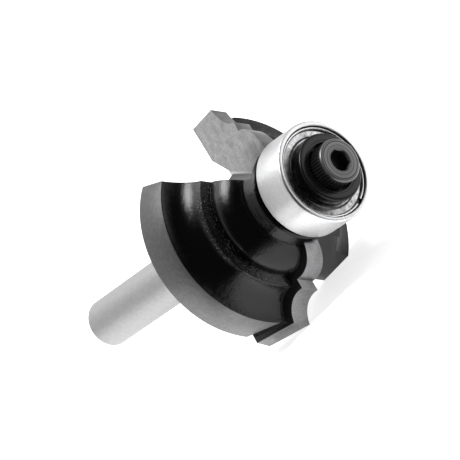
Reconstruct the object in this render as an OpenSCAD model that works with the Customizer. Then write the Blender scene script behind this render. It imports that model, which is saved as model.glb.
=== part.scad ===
// Cove and bead router bit, two brazed carbide tips, ball bearing guide at the end
// Millimetres. The bit lies on its side as it rests on a bench: +X runs along the
// axis from the shank's end to the clamping screw, +Z is up, and the origin is the
// centre of the shank's end face.

/* [Cutter] */
// Cutting diameter, measured over both carbide tips
cut_d = 28.575; // [28.2:0.025:29]
// Radius of the bead and of the cove in the cutting outline
form_r = 3.97; // [3.9:0.01:4.05]
// Height of the straight rim below the cove
rim_h = 6.64; // [5.8:0.02:7.2]
// Flat of the step between bead and cove
step_w = 1.05; // [0.8:0.05:1.4]
// Height of the step above the bead's centre
step_rise = 0.46; // [0.3:0.02:0.6]
// How far outside the rim the cove's centre lies
cove_lip = 0.93; // [0.85:0.01:1]
// Distance from the nose's face down to the bead's centre
bead_drop = 5.36; // [5.2:0.02:5.5]
// Distance from the nose's face down to the cove's centre
cove_drop = 4.5; // [4.4:0.02:4.6]
// Angle at which the carbide faces lean along the axis
shear = 13.37; // [12:0.1:14.5]
// Compass turn of the front carbide face's normal
rake_turn = 28.55; // [27:0.25:30]
// Distance of the carbide faces from the axis
rake_off = 1.607; // [1.5:0.05:1.75]
// Thickness of a carbide tip
tip_t = 1.93; // [1.7:0.05:2.1]
// Thickness of the braze behind a tip
braze_t = 0.1; // [0.06:0.01:0.15]
// Width of the braze line along a tip's foot
foot_t = 0.3; // [0.2:0.05:0.4]
// How far a tip reaches inwards past the bead's centre
foot_past = 0.13; // [0.1:0.01:0.2]
// How far the lower part of a tip's foot leans outwards
foot_lean = 2.02; // [1.8:0.02:2.2]
// Width of a tip's base
base_w = 4.06; // [3.8:0.02:4.2]
// Height of the clipped corner above a tip's base
clip_h = 3.1; // [2.8:0.05:3.3]

/* [Wings] */
// How far the wings' rim lies inside the cutting circle
rim_inset = 1.05; // [0.9:0.05:1.2]
// How far the tips hang below the wings
tip_hang = 0.86; // [0.7:0.02:1]
// How far the ramp in the rim reaches back behind a tip's seat
ramp_w = 1.13; // [0.9:0.05:1.3]
// How far that ramp falls below the rim at the seat
ramp_d = 0.52; // [0.4:0.02:0.6]
// Distance from the nose's face down to the wings' step
wing_drop = 5.9; // [5.8:0.02:6.1]
// Radius of the turned cove of the wings
wing_cove_r = 3.3; // [3.1:0.05:3.4]
// How far the turned bead lies inside the carbide bead
wing_bead_inset = 0.76; // [0.7:0.02:0.9]
// Tilt of the wings' trailing faces along the axis
heel_tilt = 15.24; // [14:0.25:16.5]
// How far past the axis the trailing faces lie
heel_off = 0.745; // [0.6:0.02:0.9]
// Radius of the gullets' floor
gullet_r = 1.8; // [1.6:0.05:2]
// Radius of the nose collar behind the bearing
nose_r = 6.1; // [5.9:0.05:6.3]
// Height of the whole nose ring above the gullets
nose_h = 1.2; // [1:0.05:1.3]

/* [Shank] */
// Shank diameter
shank_d = 6.35; // [6:0.05:6.5]
// Length of the plain shank
shank_len = 28.6; // [25:0.1:38]
// Fillet between shank and hub
hub_fillet = 2.3; // [1.8:0.1:2.6]
// Chamfer at the shank's end
shank_chamfer = 0.5; // [0.3:0.05:0.8]

/* [Bearing] */
// Outer diameter of the bearing
bearing_d = 12.7; // [12.6:0.02:12.8]
// Bore of the bearing
bore_d = 4.762; // [4.74:0.002:4.78]
// Width of the bearing
bearing_w = 4.978; // [4.9:0.002:5.05]
// Gap between the bearing and the nose collar
bearing_gap = 0.82; // [0.7:0.02:1]
// Ball diameter, as a share of the room between bore and outside
ball_share = 0.6; // [0.58:0.005:0.62]
// Wall of each ring beside its groove, as a share of the same room
land_share = 0.28; // [0.27:0.005:0.29]
// Wall of the outer ring where shield and snap ring sit
seat_wall = 0.65; // [0.6:0.01:0.7]
// Running gap between the cage and the rings
cage_gap = 0.25; // [0.2:0.01:0.3]
// Depth of the shields' rims below the bearing's faces
shield_dip = 0.57; // [0.54:0.01:0.6]
// Thickness of the shields' sheet
shield_t = 0.2; // [0.15:0.01:0.22]
// Wire diameter of the snap rings
wire_d = 0.34; // [0.3:0.01:0.36]
// Mouth of a snap ring, as an angle
wire_mouth = 9; // [6:1:12]

/* [Collar and screw] */
// Outer diameter of the collar over the bearing
collar_d = 8.5; // [8.3:0.05:8.7]
// Thickness of the collar
collar_t = 1.25; // [1.15:0.05:1.4]
// Depth of the collar's recess
recess_t = 0.98; // [0.9:0.02:1]
// Gap round the screw's head in the collar's recess
recess_gap = 0.26; // [0.2:0.02:0.36]
// Thread diameter of the cap screw
screw_d = 3; // [2.9:0.02:3.04]
// Length of the cap screw under its head
screw_len = 10; // [8:0.5:10.5]
// Diameter of the cap screw's head
head_d = 5.48; // [5.3:0.02:5.6]
// Height of the cap screw's head
head_h = 3; // [2.7:0.05:3.2]
// Width across the flats of the hexagon socket
socket_af = 2.5; // [2.3:0.05:2.7]
// Depth of the hexagon socket
socket_h = 1.5; // [1.2:0.05:1.8]

/* [Hidden] */
$fn = 72;
// running clearance on radius between a part and its bore
fit = 0.006;
// clearance on radius of threaded and loose holes
loose = 0.02;
far = 40;

// the bearing's inside
balls = 7;
ring_room = (bearing_d - bore_d) / 2;
ball_r = ball_share * ring_room / 2;
pitch_r = (bearing_d + bore_d) / 4;
inner_land_r = bore_d / 2 + land_share * ring_room;
outer_land_r = bearing_d / 2 - land_share * ring_room;
seat_r = bearing_d / 2 - seat_wall;
bore_r = bore_d / 2;
spigot_r = bore_r - fit;

shank_r = shank_d / 2;
cut_r = cut_d / 2;
wing_r = cut_r - rim_inset;

// heights along the axis from the bearing's front face, minus is towards the shank
z_mid = -bearing_w / 2;
z_nose = -bearing_w - bearing_gap;
z_neck = z_nose - nose_h;
z_bead = z_nose - bead_drop;
z_step = z_bead + step_rise;
z_cove = z_nose - cove_drop;
z_wing_step = z_nose - wing_drop;
z_wing_cove = z_wing_step + 0.05;
z_wing_rim = z_wing_cove - wing_cove_r;

// outline of a tip: w is the distance sideways from the axis, square to the relief
function face_w(r, z, k, m) =
    (sqrt(k * k * m * m - (1 + k * k) * (m * m - r * r)) - k * m) / (1 + k * k);
rake_n = [
    cos(shear) * cos(rake_turn),
    cos(shear) * sin(rake_turn),
    -sin(shear)
];
function tip_w(z) =
    face_w(cut_r, z, rake_n.y / rake_n.x, (rake_off - rake_n.z * z) / rake_n.x);
z_rim = z_cove - sqrt(form_r * form_r - cove_lip * cove_lip);
z_tip = z_rim - rim_h;
w_rim = tip_w(z_rim);
w_tip = tip_w(z_tip);
w_cove = w_rim + cove_lip;
w_step = w_cove - sqrt(form_r * form_r - (z_cove - z_step) * (z_cove - z_step));
w_bead = w_step - step_w - sqrt(form_r * form_r - step_rise * step_rise);
z_bottom = z_tip + tip_hang;
// inner edge of a tip from its top to its clipped corner, and that corner's end
foot = [
    [w_bead - 2 * foot_past, z_neck],
    [w_bead - foot_past, z_bead - 0.4 * form_r],
    [w_bead - foot_past + foot_lean, z_tip + clip_h],
    [w_tip - base_w, z_tip + 0.2]
];

// a point of the carbide face, in that plane's own coordinates
function on_face(p) =
    let (x = (rake_off + rake_n.y * p.x - rake_n.z * p.y) / rake_n.x)
    [
        -sin(rake_turn) * x - cos(rake_turn) * p.x,
        sin(shear) * (cos(rake_turn) * x - sin(rake_turn) * p.x) + cos(shear) * p.y
    ];
// a point given by its depth before the axis and its distance sideways
function on_ramp(depth, w) =
    [(depth + rake_n.y * w) / norm([rake_n.x, rake_n.z]), -w];
seat_off = rake_off - tip_t - braze_t;

// the gullet is a vee between the carbide face's plane and the next wing's heel
heel_n = [0, -cos(heel_tilt), sin(heel_tilt)];
vee_z = cross(heel_n, rake_n) / norm(cross(heel_n, rake_n));
vee_a = cross(rake_n, vee_z);
vee_b = cross(vee_z, heel_n);
vee_x = (vee_a + vee_b) / norm(vee_a + vee_b);
vee_y = cross(vee_z, vee_x);
vee_half = acos(vee_a * vee_b) / 2;
vee_turn = [
    atan2(vee_y.z, vee_z.z),
    -asin(vee_x.z),
    atan2(vee_x.y, vee_x.x)
];
vee_root_y = (heel_n.z * z_bottom + heel_off) / cos(heel_tilt);
vee_root_x = (rake_off - rake_n.y * vee_root_y - rake_n.z * z_bottom) / rake_n.x;

// the bit rests on one tip's corner and on the next wing's heel, and this roll
// brings both down to the same height
rest_tip_x = (rake_off + rake_n.y * w_rim - rake_n.z * z_rim) / rake_n.x;
rest_heel_x = sqrt(wing_r * wing_r - vee_root_y * vee_root_y);
roll = atan2(rest_heel_x - rest_tip_x, w_rim + vee_root_y);

hub_r = shank_r + hub_fillet + 0.4;
z_hub = z_bottom - 0.45;
z_shank = z_hub - hub_fillet;
z_end = z_shank - shank_len;

z_head = collar_t - recess_t;
recess_r = head_d / 2 + recess_gap;
thread_z = z_head - screw_len;
socket_r = socket_af / 2 / cos(30);

// which part to draw

// lay the bit down: its axis along +X, rolled over one gullet
module lie() {
    rotate([roll, 0, 0])
        rotate([0, 90, 0])
            translate([0, 0, -z_end])
                children();
}

// the second wing is the first one turned half round
module wing_b() {
    rotate([0, 0, 180]) children();
}

// room between two planes parallel to the front carbide face
module rake_slab(d0, d1) {
    rotate([0, shear, rake_turn])
        translate([d0, -far, -far])
            cube([d1 - d0, 2 * far, 2 * far]);
}

// straight along the relief: an outline drawn in (w, z) carried along X
module along_relief() {
    translate([far, 0, 0])
        rotate([90, 0, -90])
            linear_extrude(height = 2 * far)
                children();
}

// an outline on the front carbide face, carried square to it from one depth to another
module square_to_face(d0, d1, outline) {
    rotate([0, shear, rake_turn])
        translate([d0, 0, 0])
            rotate([90, 0, 90])
                linear_extrude(height = d1 - d0)
                    polygon([for (p = outline) on_face(p)]);
}

// cutting outline with bead, step, cove and rim, open towards the axis and below
module cutting_outline() {
    difference() {
        polygon([
            [0, z_step],
            [0, z_tip - 2],
            [w_tip + 2 * (w_tip - w_rim) / rim_h, z_tip - 2],
            [w_rim, z_rim],
            [w_rim, z_step]
        ]);
        translate([w_cove, z_cove]) circle(r = form_r);
    }
    intersection() {
        translate([w_bead, z_bead]) circle(r = form_r);
        translate([0, z_step]) square([w_rim, form_r]);
    }
}

// a flat plate, cut square, with the cutting outline ground straight back from its face
module tip_solid() {
    intersection() {
        along_relief() cutting_outline();
        square_to_face(rake_off - tip_t, rake_off, concat(foot, [
            [w_tip + 2, z_tip - 0.1],
            [w_tip + 2, z_neck]
        ]));
    }
}

// seat of a tip, open outwards and at the bottom
module pocket() {
    intersection() {
        square_to_face(seat_off, rake_off + foot_t, [
            [foot[0].x - foot_t, z_neck + 1],
            [foot[1].x - foot_t, foot[1].y],
            [foot[2].x - foot_t, foot[2].y],
            [foot[2].x - foot_t, z_tip - rim_h],
            [far, z_tip - rim_h],
            [far, z_neck + 1]
        ]);
        translate([-far, -far, z_neck - far])
            cube([2 * far, 2 * far, far]);
    }
}

// braze behind a tip and along its foot, inside the wing's turned form
module braze_solid() {
    difference() {
        intersection() {
            rotate_extrude() turned_outline();
            pocket();
            rake_slab(seat_off, rake_off - 0.4 * foot_t);
            union() {
                rake_slab(seat_off - 1, rake_off - tip_t);
                translate([-far, -far, foot[2].y - 2 * foot_t])
                    cube(2 * far);
            }
        }
        tip_solid();
    }
}

// ramp in the rim that runs down to a tip's seat
module rim_ramp() {
    rotate([0, atan2(-rake_n.z, rake_n.x), 0])
        translate([0, 0, -far])
            linear_extrude(height = 2 * far)
                polygon([
                    on_ramp(seat_off - ramp_w, wing_r),
                    on_ramp(seat_off + ramp_w, wing_r - 2 * ramp_d),
                    on_ramp(seat_off + ramp_w, wing_r + 1),
                    on_ramp(seat_off - ramp_w, wing_r + 1)
                ]);
}

module gullet() {
    intersection() {
        translate([vee_root_x, vee_root_y, z_bottom])
            rotate(vee_turn)
                translate([0, 0, -far / 2])
                    linear_extrude(height = far)
                        union() {
                            translate([gullet_r / sin(vee_half), 0])
                                circle(r = gullet_r);
                            polygon([
                                [gullet_r / tan(vee_half) * cos(vee_half), gullet_r * cos(vee_half)],
                                [far * cos(vee_half), far * sin(vee_half)],
                                [far * cos(vee_half), -far * sin(vee_half)],
                                [gullet_r / tan(vee_half) * cos(vee_half), -gullet_r * cos(vee_half)]
                            ]);
                        }
        translate([-far, -far, z_neck - far])
            cube([2 * far, 2 * far, far]);
    }
}

// turned shape of wings, nose, spigot and hub
module turned_outline() {
    // wings up to the step, with the cove
    difference() {
        translate([0, z_bottom])
            square([wing_r, z_wing_step - z_bottom]);
        translate([wing_r - 0.14, z_wing_cove])
            circle(r = wing_cove_r);
        translate([wing_r - 0.14, z_wing_rim])
            square([1, wing_cove_r]);
    }
    // bead
    intersection() {
        translate([w_bead, z_bead])
            circle(r = form_r - wing_bead_inset);
        translate([0, z_wing_step])
            square([far, form_r]);
    }
    // core and nose collar with its chamfered rim, and the shoulder for the inner ring
    polygon([
        [0, z_wing_step],
        [nose_r, z_wing_step],
        [nose_r, z_nose - 0.22],
        [nose_r - 0.22, z_nose],
        [3.2, z_nose],
        [3.2, -bearing_w],
        [spigot_r, -bearing_w],
        [spigot_r, -0.4],
        [spigot_r - 0.25, -0.15],
        [0, -0.15]
    ]);
    // hub and its fillet into the shank
    difference() {
        translate([0, z_shank])
            square([hub_r, z_bottom - z_shank]);
        translate([shank_r + hub_fillet, z_shank])
            circle(r = hub_fillet);
        translate([shank_r + hub_fillet, z_shank - 1])
            square([1, hub_fillet + 1]);
    }
}

module shank_outline() {
    polygon([
        [0, z_bottom + 1],
        [shank_r, z_bottom + 1],
        [shank_r, z_end + shank_chamfer],
        [shank_r - shank_chamfer, z_end],
        [0, z_end]
    ]);
}

module bit_body() {
    color([0.12, 0.12, 0.13])
        lie()
            difference() {
                union() {
                    rotate_extrude() turned_outline();
                    rotate_extrude() shank_outline();
                }
                rim_ramp();
                wing_b() rim_ramp();
                gullet();
                wing_b() gullet();
                pocket();
                wing_b() pocket();
                // tapped hole for the cap screw, with the drill's point
                rotate_extrude()
                    polygon([
                        [0, 1],
                        [screw_d / 2 + loose, 1],
                        [screw_d / 2 + loose, thread_z - 0.8],
                        [screw_d / 2 - 0.25, thread_z - 1.05],
                        [screw_d / 2 - 0.25, thread_z - 1.8],
                        [0, thread_z - 2.5]
                    ]);
            }
}

module carbide_tip_a() {
    color([0.62, 0.62, 0.63]) lie() tip_solid();
}

module carbide_tip_b() {
    color([0.62, 0.62, 0.63]) lie() wing_b() tip_solid();
}

module braze_joint_a() {
    color([0.80, 0.78, 0.72]) lie() braze_solid();
}

module braze_joint_b() {
    color([0.80, 0.78, 0.72]) lie() wing_b() braze_solid();
}

// groove of the balls, 0.07 wider than a ball
module race_groove() {
    translate([pitch_r, z_mid]) circle(r = ball_r + 0.07);
}

// the two seats of an outer ring, one at each face
module seat_cut() {
    translate([0, -shield_dip - shield_t])
        square([seat_r, shield_dip + shield_t + 1]);
    translate([seat_r - 0.01, -0.14])
        polygon([[0, 0], [0, 0.5], [0.65, 0.5], [0.14, 0]]);
}

module bearing_outer_ring() {
    color([0.80, 0.80, 0.81])
        lie()
            rotate_extrude()
                difference() {
                    polygon([
                        [outer_land_r, 0],
                        [bearing_d / 2 - 0.22, 0],
                        [bearing_d / 2, -0.22],
                        [bearing_d / 2, 0.22 - bearing_w],
                        [bearing_d / 2 - 0.22, -bearing_w],
                        [outer_land_r, -bearing_w]
                    ]);
                    race_groove();
                    seat_cut();
                    translate([0, -bearing_w]) mirror([0, 1]) seat_cut();
                }
}

module bearing_inner_ring() {
    color([0.80, 0.80, 0.81])
        lie()
            rotate_extrude()
                difference() {
                    polygon([
                        [bore_r + 0.15, 0],
                        [inner_land_r - 0.1, 0],
                        [inner_land_r, -0.1],
                        [inner_land_r, 0.1 - bearing_w],
                        [inner_land_r - 0.1, -bearing_w],
                        [bore_r + 0.15, -bearing_w],
                        [bore_r, 0.15 - bearing_w],
                        [bore_r, -0.15]
                    ]);
                    race_groove();
                }
}

module ball_at(i) {
    color([0.86, 0.86, 0.87])
        lie()
            rotate([0, 0, i * 360 / balls])
                translate([pitch_r, 0, z_mid])
                    sphere(r = ball_r);
}

module ball_1() { ball_at(0); }
module ball_2() { ball_at(1); }
module ball_3() { ball_at(2); }
module ball_4() { ball_at(3); }
module ball_5() { ball_at(4); }
module ball_6() { ball_at(5); }
module ball_7() { ball_at(6); }

// crown cage, its pockets open to the front
module ball_cage() {
    color([0.72, 0.66, 0.50])
        lie()
            difference() {
                rotate_extrude()
                    translate([inner_land_r + cage_gap, z_mid - ball_r - 0.3])
                        square([outer_land_r - inner_land_r - 2 * cage_gap, ball_r + 0.7]);
                for (i = [0 : balls - 1])
                    rotate([0, 0, i * 360 / balls])
                        translate([pitch_r, 0, z_mid])
                            sphere(r = ball_r + 0.06);
            }
}

// pressed shield: flat rim under the snap ring, raised inner disc
module shield_outline() {
    polygon([
        [inner_land_r + 0.08, -0.44],
        [pitch_r, -0.44],
        [pitch_r + 0.12, -shield_dip],
        [seat_r - 0.02, -shield_dip],
        [seat_r - 0.02, -shield_dip - shield_t],
        [pitch_r + 0.04, -shield_dip - shield_t],
        [pitch_r - 0.08, -0.44 - shield_t],
        [inner_land_r + 0.08, -0.44 - shield_t]
    ]);
}

module shield_front() {
    color([0.55, 0.55, 0.56])
        lie()
            rotate_extrude() shield_outline();
}

module shield_rear() {
    color([0.55, 0.55, 0.56])
        lie()
            translate([0, 0, -bearing_w])
                rotate_extrude()
                    mirror([0, 1]) shield_outline();
}

// open wire ring, its mouth centred on the angle "at"
module snap_ring(at, z) {
    color([0.85, 0.85, 0.86])
        lie()
            translate([0, 0, z])
                rotate([0, 0, at + wire_mouth / 2])
                    rotate_extrude(angle = 360 - wire_mouth)
                        translate([seat_r - wire_d / 2 - 0.01, 0])
                            circle(d = wire_d);
}

module snap_ring_front() {
    snap_ring(-35, wire_d / 2 - shield_dip);
}

module snap_ring_rear() {
    snap_ring(145, shield_dip - wire_d / 2 - bearing_w);
}

module bearing_collar() {
    color([0.10, 0.10, 0.11])
        lie()
            rotate_extrude()
                polygon([
                    [screw_d / 2 + 0.1, 0],
                    [collar_d / 2 - 0.1, 0],
                    [collar_d / 2, 0.1],
                    [collar_d / 2, collar_t - 0.15],
                    [collar_d / 2 - 0.15, collar_t],
                    [recess_r + 0.08, collar_t],
                    [recess_r, collar_t - 0.08],
                    [recess_r, z_head],
                    [screw_d / 2 + 0.1, z_head]
                ]);
}

module cap_screw() {
    color([0.30, 0.30, 0.31])
        lie()
            difference() {
                rotate_extrude()
                    polygon([
                        [0, thread_z],
                        [screw_d / 2 - 0.3, thread_z],
                        [screw_d / 2, thread_z + 0.3],
                        [screw_d / 2, z_head],
                        [head_d / 2 - 0.1, z_head],
                        [head_d / 2, z_head + 0.1],
                        [head_d / 2, z_head + head_h - 0.3],
                        [head_d / 2 - 0.3, z_head + head_h],
                        [0, z_head + head_h]
                    ]);
                translate([0, 0, z_head + head_h - socket_h])
                    linear_extrude(height = socket_h + 1)
                        circle(r = socket_r, $fn = 6);
                // countersink at the socket's mouth and the drill's cone at its floor
                rotate_extrude()
                    polygon([
                        [0, z_head + head_h - 0.15],
                        [socket_af / 2, z_head + head_h - 0.15],
                        [socket_af / 2 + 0.3, z_head + head_h + 0.15],
                        [0, z_head + head_h + 0.15]
                    ]);
                rotate_extrude()
                    polygon([
                        [0, z_head + head_h - socket_h - 0.4],
                        [socket_af / 2 - 0.15, z_head + head_h - socket_h],
                        [0, z_head + head_h - socket_h]
                    ]);
            }
}

bit_body();
carbide_tip_a();
carbide_tip_b();
braze_joint_a();
braze_joint_b();
bearing_outer_ring();
bearing_inner_ring();
ball_cage();
ball_1();
ball_2();
ball_3();
ball_4();
ball_5();
ball_6();
ball_7();
shield_front();
shield_rear();
snap_ring_front();
snap_ring_rear();
bearing_collar();
cap_screw();
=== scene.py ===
# %% [markdown]
# # A cove-and-bead router bit, dressed for its portrait
#
# The bit's solids come from its CAD model, at their real size and place.
# This script loads them as a fixed frame, swaps in finer meshes where the
# eye wants knurling, rounded corners and pressed sheet, and gives every
# surface a finish. The scene is in metres. Small sizes are written in
# millimetres and multiplied by MM where they are used.

import math

import bpy
from mathutils import Matrix, Vector


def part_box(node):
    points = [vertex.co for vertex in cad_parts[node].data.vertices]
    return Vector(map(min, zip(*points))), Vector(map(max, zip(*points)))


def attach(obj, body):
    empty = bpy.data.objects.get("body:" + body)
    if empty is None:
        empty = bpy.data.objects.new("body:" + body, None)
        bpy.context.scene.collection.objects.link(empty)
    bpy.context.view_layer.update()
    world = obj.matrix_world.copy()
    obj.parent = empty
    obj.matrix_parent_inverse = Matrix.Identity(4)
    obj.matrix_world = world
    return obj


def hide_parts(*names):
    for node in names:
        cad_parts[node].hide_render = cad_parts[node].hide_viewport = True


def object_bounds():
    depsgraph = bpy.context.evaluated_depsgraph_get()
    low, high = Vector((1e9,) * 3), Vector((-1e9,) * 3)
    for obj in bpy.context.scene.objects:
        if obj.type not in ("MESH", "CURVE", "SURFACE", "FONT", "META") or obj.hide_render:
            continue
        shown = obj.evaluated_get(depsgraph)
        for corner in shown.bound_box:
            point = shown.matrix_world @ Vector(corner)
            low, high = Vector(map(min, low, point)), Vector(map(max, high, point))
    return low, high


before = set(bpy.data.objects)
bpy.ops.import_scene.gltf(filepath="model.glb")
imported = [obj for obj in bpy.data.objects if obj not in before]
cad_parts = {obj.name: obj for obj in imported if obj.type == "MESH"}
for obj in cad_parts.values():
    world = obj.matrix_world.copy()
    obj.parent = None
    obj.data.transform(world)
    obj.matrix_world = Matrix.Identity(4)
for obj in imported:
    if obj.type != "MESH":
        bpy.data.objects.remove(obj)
cad_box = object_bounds()
bpy.ops.object.select_all(action="DESELECT")
MM = 0.001
print("CAD box in mm:", [[round(v / MM, 2) for v in corner] for corner in cad_box])

# %% [markdown]
# ## Two ways to measure the bit
#
# The bit lies on its side, with its axis along X, and rolled so that it
# rests over one gullet. A turned piece is easier to draw the way a lathe
# holds it, with the axis upright. So each turned piece is drawn upright, with
# its heights measured from the bearing's front face, and laid down last.
# The bearing gives that face's place, and the first ball gives the roll.

# %% From the lathe to the bench
FRONT_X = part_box("bearing_outer_ring")[1].x
ball_low, ball_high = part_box("ball_1")
ball_middle = (ball_low + ball_high) / 2
ROLL = math.atan2(ball_middle.y, -ball_middle.z)
LIE = Matrix((
    (0, 0, 1, FRONT_X),
    (math.sin(ROLL), math.cos(ROLL), 0, 0),
    (-math.cos(ROLL), math.sin(ROLL), 0, 0),
    (0, 0, 0, 1),
))
print("front face at", round(FRONT_X / MM, 3), "mm, rolled",
      round(math.degrees(ROLL), 2), "degrees")


def select_only(piece):
    bpy.ops.object.select_all(action="DESELECT")
    piece.select_set(True)
    bpy.context.view_layer.objects.active = piece


def lay_down(piece):
    piece.matrix_world = LIE
    select_only(piece)
    bpy.ops.object.transform_apply(location=True, rotation=True, scale=True)


# %% [markdown]
# ## Turning on a lathe
#
# Six of the finer meshes are turned: two rings, two shields, the collar and
# the screw's blank. A turned piece is one outline swept round the axis. The
# outline starts as a single point, grows by extruding that point from corner
# to corner, and is then spun through a full turn. A ring's outline closes on
# itself. A solid's outline starts and ends on the axis and stays open. The
# doubled seam is merged afterwards, and the faces are made to point outwards.

# %% The lathe
def arc(x, z, r, start, end, steps=8):
    turns = [math.radians(start + (end - start) * i / steps) for i in range(steps + 1)]
    return [(x + r * math.cos(a), z + r * math.sin(a)) for a in turns]


def new_piece(name):
    piece = bpy.context.object
    piece.name = name
    piece.data.name = name
    return piece


SEAM_REACH = 0.002
CORNER_REACH = 0.0005


def close_up():
    bpy.ops.mesh.select_all(action="SELECT")
    bpy.ops.mesh.remove_doubles(threshold=SEAM_REACH * MM)
    bpy.ops.mesh.normals_make_consistent(inside=False)


def draw_line(name, points):
    bpy.ops.mesh.primitive_plane_add(size=MM, location=points[0])
    piece = new_piece(name)
    bpy.ops.object.transform_apply(location=True)
    bpy.ops.object.mode_set(mode="EDIT")
    bpy.ops.mesh.merge(type="CENTER")
    for here, there in zip(points, points[1:]):
        bpy.ops.mesh.extrude_region_move(TRANSFORM_OT_translate={"value": there - here})
    bpy.ops.mesh.select_all(action="SELECT")
    return piece


def turned(name, outline, steps=192, ring=True):
    points = [Vector((x * MM, 0, z * MM)) for x, z in outline]
    piece = draw_line(name, points + points[:1] if ring else points)
    if ring:
        bpy.ops.mesh.remove_doubles(threshold=CORNER_REACH * MM)
    bpy.ops.mesh.spin(steps=steps, angle=math.tau, center=(0, 0, 0), axis=(0, 0, 1))
    close_up()
    bpy.ops.object.mode_set(mode="OBJECT")
    return piece


# %% [markdown]
# ### Laying down and dressing
#
# A finished piece is laid down, and faces that meet at less than 32 degrees
# are shaded as one smooth surface. Then it is tied to the frame: it rides on
# a body and stands for a CAD node, which is hidden.

# %% Dressing a piece
SMOOTH_BELOW = math.radians(32)


def dress(piece, node_name, body):
    piece.parent = None
    select_only(piece)
    bpy.ops.object.shade_smooth_by_angle(angle=SMOOTH_BELOW)
    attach(piece, body)
    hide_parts(node_name)
    print(piece.name, "has", len(piece.data.polygons), "faces")


def settle(piece, node_name, body):
    lay_down(piece)
    dress(piece, node_name, body)


# %% [markdown]
# ## The guide bearing
#
# The outer ring is ground and polished, with corners rounded to about a
# quarter of a millimetre, and those roundings catch most of the light. At
# each face a recess holds the pressed shield and the wire ring that keeps it
# in. The outline runs from the groove's edge round the outside and back.

# %% Outer ring and inner ring
BEARING_W = 4.978
OUTER_R = 6.35
BORE_R = 2.381
LAND_R = 5.239
INNER_LAND_R = 3.492
SEAT_R = 5.7
SEAT_DEPTH = 0.77
BALL_R = 1.191
PITCH_R = 4.3655
MIDDLE = -BEARING_W / 2
CORNER = 0.24
LIP = 0.16
LAND_CORNER = 0.12
BORE_CORNER = 0.15
BALL_PLAY = 0.07
GROOVE_R = BALL_R + BALL_PLAY


def groove(land, side):
    lean = math.degrees(math.acos(abs(land - PITCH_R) / GROOVE_R))
    return arc(PITCH_R, MIDDLE, GROOVE_R, side - lean, side + lean, 10)


outer_outline = (
    groove(LAND_R, 0)
    + [(LAND_R, -SEAT_DEPTH), (SEAT_R, -SEAT_DEPTH), (SEAT_R, -LIP)]
    + arc(SEAT_R + LIP, -LIP, LIP, 180, 90, 4)
    + arc(OUTER_R - CORNER, -CORNER, CORNER, 90, 0)
    + arc(OUTER_R - CORNER, CORNER - BEARING_W, CORNER, 0, -90)
    + arc(SEAT_R + LIP, LIP - BEARING_W, LIP, 270, 180, 4)
    + [(SEAT_R, SEAT_DEPTH - BEARING_W), (LAND_R, SEAT_DEPTH - BEARING_W)]
)
settle(turned("outer_ring", outer_outline), "bearing_outer_ring", "outer_race")

inner_outline = (
    groove(INNER_LAND_R, 180)
    + arc(INNER_LAND_R - LAND_CORNER, -LAND_CORNER, LAND_CORNER, 0, 90, 4)
    + arc(BORE_R + BORE_CORNER, -BORE_CORNER, BORE_CORNER, 90, 180, 4)
    + arc(BORE_R + BORE_CORNER, BORE_CORNER - BEARING_W, BORE_CORNER, 180, 270, 4)
    + arc(INNER_LAND_R - LAND_CORNER, LAND_CORNER - BEARING_W, LAND_CORNER, 270, 360, 4)
)
settle(turned("inner_ring", inner_outline, 128), "bearing_inner_ring", "bit")

# %% [markdown]
# ## The shields
#
# Each shield is pressed from thin sheet: a flat rim that the wire holds down,
# a rounded step up, and a flat disc that stops just short of the inner ring.
# Pressed sheet has no sharp corners, so both sides of the step are arcs. The
# rear shield is the front one mirrored in the bearing's middle, so its outline
# is worked out from the same numbers.

# %% Front and rear shield
RIM_Z = -0.57
DISC_Z = -0.44
SHEET = 0.2
EDGE_X = SEAT_R - 0.02
INNER_X = INNER_LAND_R + 0.08
STEP_TOP_X = PITCH_R + 0.02
STEP_FOOT_X = PITCH_R + 0.22
UNDER_TOP_X = PITCH_R - 0.06
UNDER_FOOT_X = PITCH_R + 0.14
TIGHT_FOLD = 0.06
WIDE_FOLD = 0.1
UNDER_FOLD = 0.05
front_outline = (
    [(EDGE_X, RIM_Z)]
    + arc(STEP_FOOT_X, RIM_Z + TIGHT_FOLD, TIGHT_FOLD, 270, 225, 3)
    + arc(STEP_TOP_X, DISC_Z - WIDE_FOLD, WIDE_FOLD, 45, 90, 3)
    + arc(INNER_X + TIGHT_FOLD, DISC_Z - TIGHT_FOLD, TIGHT_FOLD, 90, 180, 3)
    + [(INNER_X, DISC_Z - SHEET)]
    + arc(UNDER_TOP_X, DISC_Z - SHEET - UNDER_FOLD, UNDER_FOLD, 90, 45, 2)
    + arc(UNDER_FOOT_X, RIM_Z - SHEET + WIDE_FOLD, WIDE_FOLD, 225, 270, 2)
    + [(EDGE_X, RIM_Z - SHEET)]
)
rear_outline = [(x, -BEARING_W - z) for x, z in front_outline]
for end, outline in (("front", front_outline), ("rear", rear_outline)):
    settle(turned(end + "_shield_sheet", outline), "shield_" + end, "outer_race")

# %% [markdown]
# ## The collar
#
# The collar under the screw's head is a small turned ring with a recess that
# lets the head sink in. Its outer edges and the recess's mouth are broken with
# a fine radius, which is what catches the light on a black piece. A cylinder
# with a bevel would give all edges one radius, and an outline gives each its
# own.

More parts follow.
